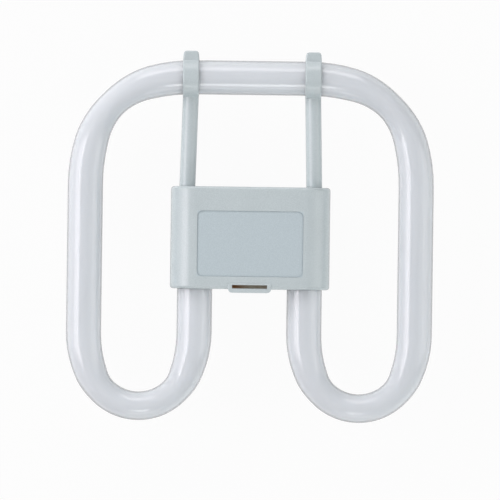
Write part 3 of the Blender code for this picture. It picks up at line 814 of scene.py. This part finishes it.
def housing_form(name, radius, low_y, high_y, edge_round=0.0):
    """Flat housing form whose two sides are round about the inner legs."""
    sides = (INNER_LEG_X + radius, low_y, high_y, TUBE_PLANE - radius, TUBE_PLANE + radius)
    rounded_block(name, sides, radius, segments=28, direction=UP)
    pick_all()
    bpy.ops.mesh.remove_doubles(threshold=TINY)
    if edge_round:
        pick("EDGE", lambda edge: is_sharp(edge) and not runs_along(edge, UP))
        round_edges(edge_round, segments=7)
    return finish_shaping()


def housing_half(name, sizes, keep_front):
    """The housing's outer form on one side of its parting plane, with room for the seam."""
    piece = housing_form(name, END_RADIUS, sizes.bottom_y, HOUSING_TOP_Y, sizes.edge_round)
    room = SEAT_GAP / 2 if keep_front else -SEAT_GAP / 2
    start_shaping(piece, "FACE")
    pick_all()
    bpy.ops.mesh.bisect(
        plane_co=(0.0, 0.0, TUBE_PLANE + room),
        plane_no=OUT,
        use_fill=True,
        clear_inner=keep_front,
        clear_outer=not keep_front,
    )
    return finish_shaping()


def hollow_out(piece, sizes):
    """Cut the hollow, the two leg holes and the socket's mouth."""
    cavity = END_RADIUS - sizes.wall
    floor_y = sizes.bottom_y + sizes.wall
    shape_with(piece, housing_form("hollow", cavity, floor_y, HOUSING_TOP_Y - sizes.wall))
    low_y = sizes.bottom_y - OVERRUN
    high_y = floor_y + OVERRUN
    radius = TUBE_RADIUS + SEAT_GAP
    for x in (-INNER_LEG_X, INNER_LEG_X):
        shape_with(piece, bar("leg_hole", radius, x, TUBE_PLANE, low_y, high_y, sides=96))
    half_width = INSERT_HIGH.x + SEAT_GAP
    reach = cavity - sizes.rib_rise
    sides = (half_width, low_y, high_y, TUBE_PLANE - reach, TUBE_PLANE + reach)
    shape_with(piece, block("mouth", *sides))


def latch_lip(sizes):
    """Raised lip round the latch window, with sloping sides and softened edges."""
    top_y = sizes.bottom_y + sizes.window_raise + sizes.window_height + sizes.window_rim
    shoulder_y = sizes.bottom_y - sizes.lip_shoulder
    face_z = FRONT_Z + sizes.lip_rise
    root = sizes.lip_root_width / 2
    lip = block("lip", root, shoulder_y, top_y, FRONT_Z - sizes.wall, face_z)
    start_shaping(lip, "FACE")
    pick("FACE", lambda face: looks(face, -UP))
    push((0.0, COVER_LOW.y - shoulder_y, 0.0))
    narrowing = sizes.lip_foot_width / sizes.lip_root_width
    stretch(narrowing, 1.0, 1.0, (0.0, COVER_LOW.y, FRONT_Z))
    pick("EDGE", lambda edge: runs_along(edge, OUT) and middle(edge).y < shoulder_y + TINY)
    round_edges(sizes.lip_corner, segments=6)
    pick("EDGE", lambda edge: near(middle(edge).z, face_z) and is_sharp(edge))
    round_edges(sizes.lip_edge, segments=4)
    return finish_shaping()


def panel_cutter(sizes):
    """Cutter for the sunk label panel, with a fine groove along the foot of its wall."""
    low_y = sizes.panel_middle_y - sizes.panel_height / 2
    high_y = sizes.panel_middle_y + sizes.panel_height / 2
    groove_z = FRONT_Z - sizes.panel_depth - sizes.panel_groove
    sides = (sizes.panel_width / 2, low_y, high_y, groove_z, FRONT_Z + OVERRUN)
    rounded_block("panel", sides, sizes.panel_corner, segments=12)
    pick("FACE", lambda face: looks(face, -OUT))
    bpy.ops.mesh.inset(thickness=sizes.panel_groove)
    push((0.0, 0.0, sizes.panel_groove))
    return finish_shaping()


class LAMP_OT_front_cover(bpy.types.Operator):
    """Shape the front half of the housing with its label panel and latch lip"""

    bl_idname = "lamp.front_cover"
    bl_label = "Front cover"

    def execute(self, context):
        sizes = context.scene.lamp_housing
        clips = context.scene.lamp_clips
        cover = housing_half("cover_front", sizes, keep_front=True)
        shape_with(cover, latch_lip(sizes), "UNION")
        half = sizes.window_width / 2
        low_y = sizes.bottom_y + sizes.window_raise
        high_y = low_y + sizes.window_height
        low_z = FRONT_Z - sizes.wall - OVERRUN
        shape_with(cover, block("window", half, low_y, high_y, low_z, FRONT_Z + OVERRUN))
        hollow_out(cover, sizes)
        radius = clips.arm_diameter / 2 + SEAT_GAP
        low_y = HOUSING_TOP_Y - sizes.wall - OVERRUN
        high_y = HOUSING_TOP_Y + OVERRUN
        for x in (-clips.root_x, clips.root_x):
            shape_with(cover, bar("notch", radius, x, TUBE_PLANE, low_y, high_y))
        shape_with(cover, panel_cutter(sizes))
        shade(cover)
        deliver(cover, housing_finish(), "housing_plastic", "front_cover")
        return {"FINISHED"}


def back_block(sizes):
    """Drafted block behind the housing, down to its flat back."""
    half_width = sizes.block_width / 2
    low_y = sizes.bottom_y + sizes.block_margin
    high_y = HOUSING_TOP_Y - sizes.block_margin
    half_height = (high_y - low_y) / 2
    sides = (half_width, low_y, high_y, 0.0, BACK_Z + sizes.wall / 2)
    rounded_block("back", sides, sizes.block_corner, segments=8)
    pick("FACE", lambda face: looks(face, -OUT))
    narrow_x = 1 - sizes.block_draft / half_width
    narrow_y = 1 - sizes.block_draft / half_height
    stretch(narrow_x, narrow_y, 1.0, (0.0, low_y + half_height, 0.0))
    pick("EDGE", lambda edge: near(middle(edge).z, 0.0) and is_sharp(edge))
    round_edges(sizes.block_edge, segments=5)
    return finish_shaping()


def pocket(sizes):
    """Hollow of the block, open to the housing's own hollow."""
    inset = sizes.block_draft + sizes.wall
    half_width = sizes.block_width / 2 - inset
    low_y = sizes.bottom_y + sizes.block_margin + inset
    high_y = HOUSING_TOP_Y - sizes.block_margin - inset
    sides = (half_width, low_y, high_y, sizes.wall, BACK_Z + sizes.wall + OVERRUN)
    rounded_block("pocket", sides, sizes.block_corner - inset, segments=6)
    return finish_shaping()


def clip_arm(clips, sign, wall):
    """Round arm from the housing's upper wall to the underside of its clip."""
    low_y = HOUSING_TOP_Y - wall - clips.root_sink
    high_y = TOP_RUN_Y - TUBE_RADIUS - SEAT_GAP - clips.wall / 3
    root = (sign * clips.root_x, low_y, TUBE_PLANE)
    disc("arm", clips.arm_diameter / 2, root, sides=48)
    push((sign * (clips.tip_x - clips.root_x), high_y - low_y, 0.0))
    return finish_shaping()


def tube_clip(clips, sign):
    """Clip bent from a strip: spun round the tube, turned up at its jaws, rounded at its tips."""
    inner = TUBE_RADIUS + SEAT_GAP
    outer = inner + clips.wall
    far = outer + clips.throat_round
    jaw = acos((clips.tip_reach + clips.throat_round) / far)
    throat = Vector((0.0, far * sin(jaw), far * cos(jaw)))
    half_wall = clips.wall / 2

    def is_outside(place):
        """Whether a place is on the clip's outer skin, from its root over the jaw to the tip."""
        depth = abs(place.z)
        if place.y > throat.y:
            return depth > clips.tip_reach - half_wall
        if atan2(place.y, depth) > jaw:
            return hypot(place.y - throat.y, depth - throat.z) < clips.throat_round + half_wall
        return hypot(place.y, depth) > inner + half_wall

    deselect()
    bpy.ops.mesh.primitive_plane_add(size=1.0, location=(0.0, -inner - half_wall, 0.0))
    bpy.ops.transform.resize(value=(clips.width, clips.wall, 1.0))
    piece = named("clip")
    start_shaping(piece, "FACE")
    pick_all()
    turns = ((40, pi / 2 + jaw, (0.0, 0.0, 0.0)), (8, -jaw, throat))
    for steps, angle, centre in turns:
        bpy.ops.mesh.spin(steps=steps, angle=angle, center=centre, axis=(1.0, 0.0, 0.0))
    push((0.0, clips.tip_height - throat.y, 0.0))
    stretch(clips.tip_width / clips.width, 1.0, 1.0, (0.0, clips.tip_height, 0.0))
    pick("EDGE", lambda edge: runs_along(edge, OUT) and near(middle(edge).y, clips.tip_height))
    round_edges(clips.tip_corner, segments=8)
    pick("FACE", lambda face: near(middle(face).z, 0.0) and abs(face.normal.z) > LOOKS_IN)
    bpy.ops.mesh.delete(type="ONLY_FACE")
    finish_shaping()
    axes = (False, False, True)
    apply_step(piece, "other jaw", "MIRROR", use_axis=axes, merge_threshold=MERGE)
    start_shaping(piece)
    pick("EDGE", lambda edge: is_sharp(edge, CLIP_EDGE_ANGLE) and is_outside(middle(edge)))
    round_edges(clips.outer_round, segments=5)
    pick_all()
    bpy.ops.transform.translate(value=(sign * clips.tip_x, TOP_RUN_Y, TUBE_PLANE))
    finish_shaping()
    soften(piece, clips.inner_round, segments=2, angle=CLIP_EDGE_ANGLE)
    return piece


class LAMP_OT_rear_shell(bpy.types.Operator):
    """Shape the rear half of the housing with its back block, arms and tube clips"""

    bl_idname = "lamp.rear_shell"
    bl_label = "Rear shell"

    def execute(self, context):
        sizes = context.scene.lamp_housing
        clips = context.scene.lamp_clips
        shell = housing_half("shell_rear", sizes, keep_front=False)
        shape_with(shell, back_block(sizes), "UNION")
        hollow_out(shell, sizes)
        shape_with(shell, pocket(sizes))
        for sign in (-1, 1):
            shape_with(shell, clip_arm(clips, sign, sizes.wall), "UNION")
            shape_with(shell, tube_clip(clips, sign), "UNION")
        shade(shell)
        deliver(shell, housing_finish(), "housing_plastic", "rear_shell")
        return {"FINISHED"}


# Socket


def pin_centres():
    """Number and middle of each contact pin, as packed."""
    places = []
    for number in range(1, 5):
        low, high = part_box("contact_pin_" + str(number))
        places.append((number, (low.x + high.x) / 2, (low.z + high.z) / 2))
    return places


class LAMP_OT_socket_insert(bpy.types.Operator):
    """Shape the brown insert that holds the pins"""

    bl_idname = "lamp.socket_insert"
    bl_label = "Socket insert"

    def execute(self, context):
        sizes = context.scene.lamp_socket
        low, high = INSERT_LOW, INSERT_HIGH
        piece = block("socket_insert", high.x, low.y, high.y, low.z, high.z)
        floor_y = HOUSING_BOTTOM_Y + sizes.depth
        back_z = low.z + sizes.back_wall
        sides = (sizes.width / 2, low.y - OVERRUN, floor_y, back_z, high.z + OVERRUN)
        shape_with(piece, block("socket", *sides))
        radius = sizes.pin_diameter / 2 + SEAT_GAP
        ends = (floor_y - OVERRUN, high.y + OVERRUN)
        for _, x, z in pin_centres():
            shape_with(piece, bar("pin_hole", radius, x, z, *ends, sides=32))
        soften(piece, sizes.edge_round, segments=3)
        shade(piece)
        finish = plastic_with_painted_light("insert_plastic_grained", context.scene.lamp_finishes)
        deliver(piece, finish, "insert_plastic", "pin_carrier")
        return {"FINISHED"}


class LAMP_OT_contact_pins(bpy.types.Operator):
    """Turn one contact pin and copy it to its four places"""

    bl_idname = "lamp.contact_pins"
    bl_label = "Contact pins"

    def execute(self, context):
        sizes = context.scene.lamp_socket
        radius = sizes.pin_diameter / 2
        collar = sizes.collar_diameter / 2
        tail = sizes.tail_diameter / 2
        seat_y = INSERT_HIGH.y + SEAT_GAP
        collar_y = seat_y + sizes.collar_height
        profile = []
        for i in range(1, PIN_STEPS + 1):
            angle = pi / 2 * i / PIN_STEPS
            reach = radius * max(sin(angle), PIN_RING)
            profile.append((PIN_LOW.y + radius * (1 - cos(angle)), reach))
        profile += [(seat_y, radius), (seat_y, collar), (collar_y, collar), (collar_y, tail)]
        profile.append((PIN_HIGH.y, tail))

        places = pin_centres()
        _, first_x, first_z = places[0]
        start = (first_x, PIN_LOW.y, first_z)
        master = disc("pin_1", radius * PIN_FLAT, start, sides=40)
        pull_up(*start, radius * PIN_FLAT, [(y, reach, reach) for y, reach in profile])
        finish_shaping()
        shade(master, weighted=False)
        for number, x, z in places[1:]:
            pin = master.copy()
            pin.data = master.data.copy()
            context.scene.collection.objects.link(pin)
            pin.name = "pin_" + str(number)
            pin.data.name = pin.name
            pin.data.transform(Matrix.Translation((x - first_x, 0.0, z - first_z)))
        finish = turned_metal("turned_brass", context.scene.lamp_finishes.brass, roughness=0.24)
        for number, _, _ in places:
            pin = bpy.data.objects["pin_" + str(number)]
            deliver(pin, finish, "pin_brass", "contact_pin_" + str(number))
        return {"FINISHED"}


class LAMP_OT_inner_parts(bpy.types.Operator):
    """Finish the leads, sleeves and seal rings inside the housing"""

    bl_idname = "lamp.inner_parts"
    bl_label = "Inner parts"

    def execute(self, context):
        finishes = context.scene.lamp_finishes
        wire = turned_metal("lead_metal_drawn", finishes.lead, roughness=0.34)
        sleeve = matt_compound("sleeve_fibre", finishes.sleeve, roughness=0.62)
        seal = matt_compound("seal_compound_cast", finishes.seal, roughness=0.70)
        groups = {"lead_wire": wire, "wire_sleeve": sleeve, "seal_ring": seal}
        for node_name, node in frame["nodes"].items():
            for start, finish in groups.items():
                if node_name.startswith(start):
                    node.data.materials.clear()
                    node.data.materials.append(finish)
        return {"FINISHED"}


# Stage


def grey(level):
    return (level, level, level, 1.0)


def backdrop_material(stage):
    """Pale floor that looks even to the camera and in gloss, and keeps the object's shadow."""
    made = bpy.data.materials.new("pale_floor")
    nodes = Nodes(made, "ShaderNodeOutputMaterial")
    path = nodes.add("ShaderNodeLightPath").outputs
    seen = path["Is Camera Ray"]
    for name in ("Is Glossy Ray", "Is Transmission Ray"):
        seen = nodes.math("MAXIMUM", seen, path[name])
    share = nodes.math("MULTIPLY", seen, FLOOR_EVENNESS)
    dull = nodes.add("ShaderNodeBsdfDiffuse", {"Color": grey(FLOOR_BOUNCE)})
    glow = nodes.add("ShaderNodeEmission", {"Color": grey(stage.floor_tone)})
    nodes.show(nodes.mixed(share, dull, glow))
    return made


def backdrop_world(stage):
    """Even sky for lighting, and the floor's own tone wherever the camera sees past it."""
    world = bpy.data.worlds.new("studio")
    bpy.context.scene.world = world
    nodes = Nodes(world, "ShaderNodeOutputWorld")
    seen = nodes.add("ShaderNodeLightPath").outputs["Is Camera Ray"]
    shaders = []
    for strength in (stage.sky_level, stage.floor_tone):
        values = {"Color": grey(1.0), "Strength": strength}
        shaders.append(nodes.add("ShaderNodeBackground", values))
    nodes.show(nodes.mixed(seen, *shaders))


def studio_lamp(name, tilt, turned, wide, high, glow, in_gloss, blush):
    """Soft lamp with a trace of pink; one kept out of gloss only fills, as a far wall would."""
    data = bpy.data.lights.new(name, "AREA")
    data.shape = "RECTANGLE"
    data.size = wide
    data.size_y = high
    data.energy = pi * wide * high * glow
    data.color = (1.0, 1.0 - blush, 1.0 - blush / 3)
    lamp = bpy.data.objects.new(name, data)
    bpy.context.scene.collection.objects.link(lamp)
    lamp.visible_glossy = in_gloss
    side = sin(radians(tilt)) * LAMP_REACH
    rise = cos(radians(tilt)) * LAMP_REACH
    lamp.location = (side * cos(radians(turned)), side * sin(radians(turned)), rise)
    lamp.rotation_euler = (lamp.location - LAMP_AIM).to_track_quat("Z", "Y").to_euler()


class LAMP_OT_stage(bpy.types.Operator):
    """Set the pale floor, the studio lamps and the camera"""

    bl_idname = "lamp.stage"
    bl_label = "Stage"

    def execute(self, context):
        stage = context.scene.lamp_stage
        deselect()
        bpy.ops.mesh.primitive_plane_add(size=FLOOR_SIZE, location=(0.0, 0.0, -FLOOR_DROP))
        floor = named("floor")
        floor.data.materials.append(backdrop_material(stage))
        backdrop_world(stage)
        for row in LAMPS:
            studio_lamp(*row)

        level = cos(stage.pitch)
        right = Vector((cos(stage.yaw), 0.0, sin(stage.yaw)))
        back = Vector((-sin(stage.yaw) * level, sin(stage.pitch), cos(stage.yaw) * level))
        upward = back.cross(right)
        across = right * cos(stage.roll) + upward * sin(stage.roll)
        upright = upward * cos(stage.roll) - right * sin(stage.roll)
        target = stage.target_x * right + stage.target_y * upward + OUT * TUBE_PLANE
        place = Matrix.Translation(target + back * stage.distance)
        data = bpy.data.cameras.new("camera")
        data.sensor_fit = "HORIZONTAL"
        data.lens = data.sensor_width * stage.distance / stage.view_height
        data.clip_start = 0.01
        data.clip_end = 50.0
        camera = bpy.data.objects.new("camera", data)
        context.scene.collection.objects.link(camera)
        camera.matrix_world = place @ Matrix((across, upright, back)).transposed().to_4x4()
        context.scene.camera = camera
        context.scene.view_settings.view_transform = "Standard"
        return {"FINISHED"}


# Name, tilt from straight above and turn from the right in degrees, width, height, glow,
# whether a gloss shows it, and blush of each lamp
LAMPS = (
    ("left_softbox", 42, 180, 0.6, 0.32, 3.6, True, 0.06),
    ("low_left_softbox", 58, 180, 0.6, 0.36, 2.7, True, 0.06),
    ("left_wall_softbox", 78, 180, 0.6, 0.4, 0.8, True, 0.03),
    ("upper_left_fill", 66, 158, 0.8, 0.4, 3.2, False, 0.03),
    ("left_top_fill", 64, 128, 0.8, 0.4, 3.3, False, 0.0),
    ("overhead_fill", 12, 180, 0.5, 0.5, 1.3, False, 0.0),
    ("top_softbox", 61, 92, 0.9, 0.46, 2.3, True, 0.04),
    ("top_low_softbox", 80, 92, 1.0, 0.3, 1.1, True, 0.0),
    ("right_softbox", 36, 0, 0.6, 0.36, 0.7, True, 0.0),
    ("low_right_softbox", 56, 0, 0.6, 0.36, 1.8, True, 0.0),
    ("right_fill", 76, 0, 0.6, 0.44, 1.5, True, 0.0),
    ("upper_right_fill", 70, 40, 0.6, 0.4, 0.6, False, 0.0),
    ("lower_right_fill", 72, -35, 0.6, 0.4, 4.5, False, 0.0),
    ("lower_high_fill", 32, -90, 0.8, 0.3, 0.8, False, 0.0),
    ("lower_short_softbox", 51, -90, 0.26, 0.36, 3.8, True, 0.0),
    ("lower_softbox", 77, -90, 0.8, 0.36, 1.4, True, 0.0),
    ("lower_fill", 80, -62, 1.2, 0.36, 0.7, False, 0.0),
    ("lower_left_fill", 60, -150, 0.6, 0.4, 0.6, False, 0.0),
)


class LAMP_PT_panel(bpy.types.Panel):
    """Buttons and sizes of the lamp"""

    bl_idname = "LAMP_PT_panel"
    bl_label = "Square lamp"
    bl_space_type = "VIEW_3D"
    bl_region_type = "UI"
    bl_category = "Lamp"

    def draw(self, context):
        for operator in OPERATORS:
            self.layout.operator(operator.bl_idname)
        for group_name in GROUPS:
            group = getattr(context.scene, group_name)
            box = self.layout.box()
            for key in group.bl_rna.properties.keys():
                if key not in ("rna_type", "name"):
                    box.prop(group, key)


GROUPS = {
    "lamp_tube": TubeSizes,
    "lamp_housing": HousingSizes,
    "lamp_clips": ClipSizes,
    "lamp_socket": SocketSizes,
    "lamp_finishes": Finishes,
    "lamp_stage": StageSettings,
}

OPERATORS = (
    LAMP_OT_glass_tube,
    LAMP_OT_front_cover,
    LAMP_OT_rear_shell,
    LAMP_OT_socket_insert,
    LAMP_OT_contact_pins,
    LAMP_OT_inner_parts,
    LAMP_OT_stage,
)


def register():
    for name, group in GROUPS.items():
        bpy.utils.register_class(group)
        setattr(bpy.types.Scene, name, PointerProperty(type=group))
    for item in (*OPERATORS, LAMP_PT_panel):
        bpy.utils.register_class(item)


def unregister():
    for item in reversed((*OPERATORS, LAMP_PT_panel)):
        bpy.utils.unregister_class(item)
    for name, group in reversed(GROUPS.items()):
        delattr(bpy.types.Scene, name)
        bpy.utils.unregister_class(group)


def main():
    register()
    bpy.ops.lamp.glass_tube()
    bpy.ops.lamp.front_cover()
    bpy.ops.lamp.rear_shell()
    bpy.ops.lamp.socket_insert()
    bpy.ops.lamp.contact_pins()
    bpy.ops.lamp.inner_parts()
    bpy.ops.lamp.stage()


if __name__ == "__main__":
    main()
